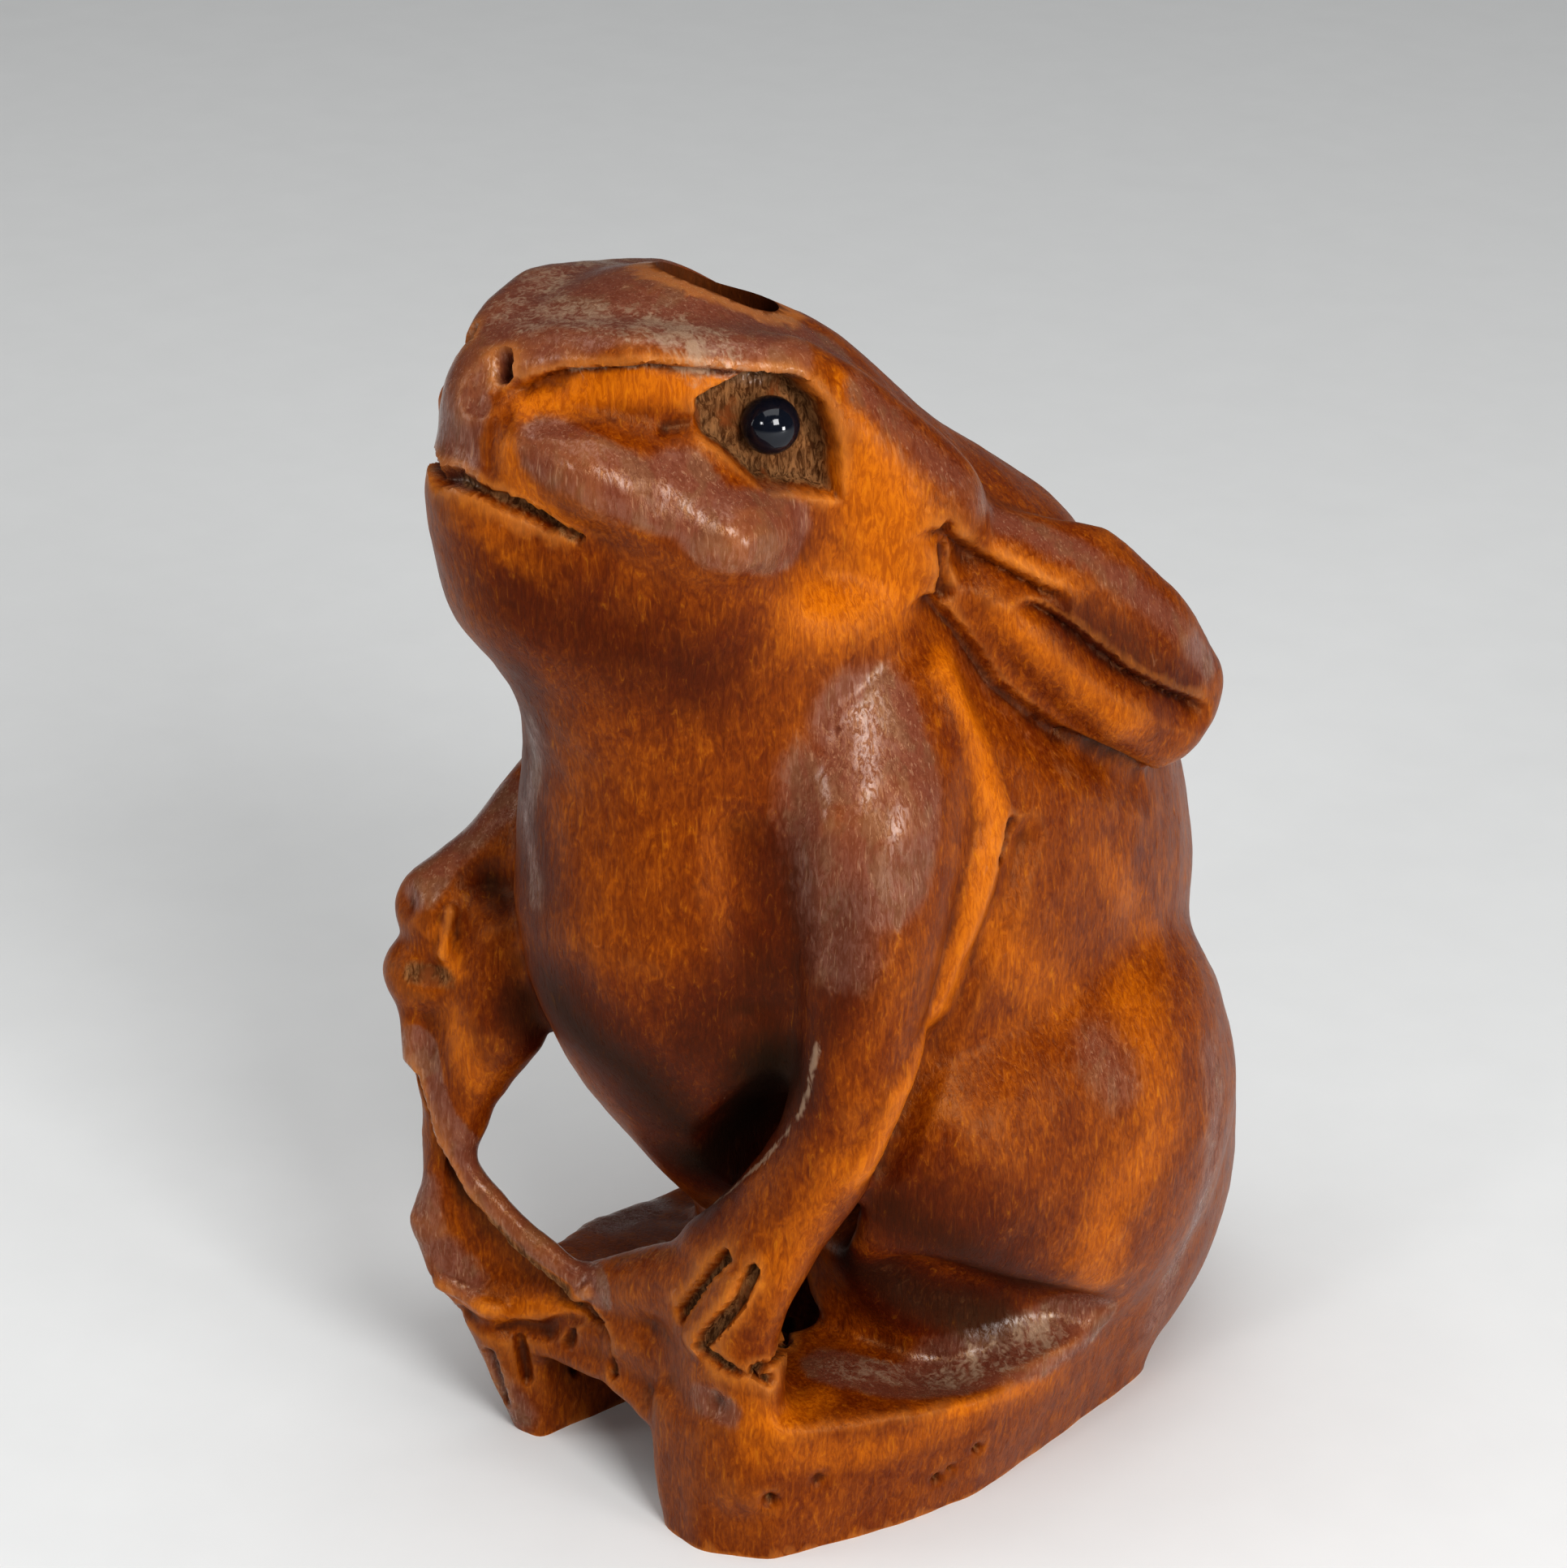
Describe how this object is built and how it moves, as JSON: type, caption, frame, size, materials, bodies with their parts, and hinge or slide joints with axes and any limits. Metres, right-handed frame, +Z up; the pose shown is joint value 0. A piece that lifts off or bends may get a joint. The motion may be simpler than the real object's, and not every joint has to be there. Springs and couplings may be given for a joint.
{
  "type": "ojime bead",
  "caption": "Small wooden cord bead carved as a seated hare holding a curled leaf, with inlaid black eyes and a cord hole through its height.",
  "frame": {"origin": "on the surface the bead stands on, under the middle of its bounding box", "axes": "+Z up, the animal faces -Y, its left side is at +X"},
  "size_m": [0.0132, 0.0208, 0.0284],
  "materials": {
    "boxwood": "hand polished, satin to gloss",
    "eye_inlay": "polished"
  },
  "bodies": {
    "root": {"carved_hare": "boxwood", "eye_left": "eye_inlay", "eye_right": "eye_inlay"}
  },
  "joints": []
}
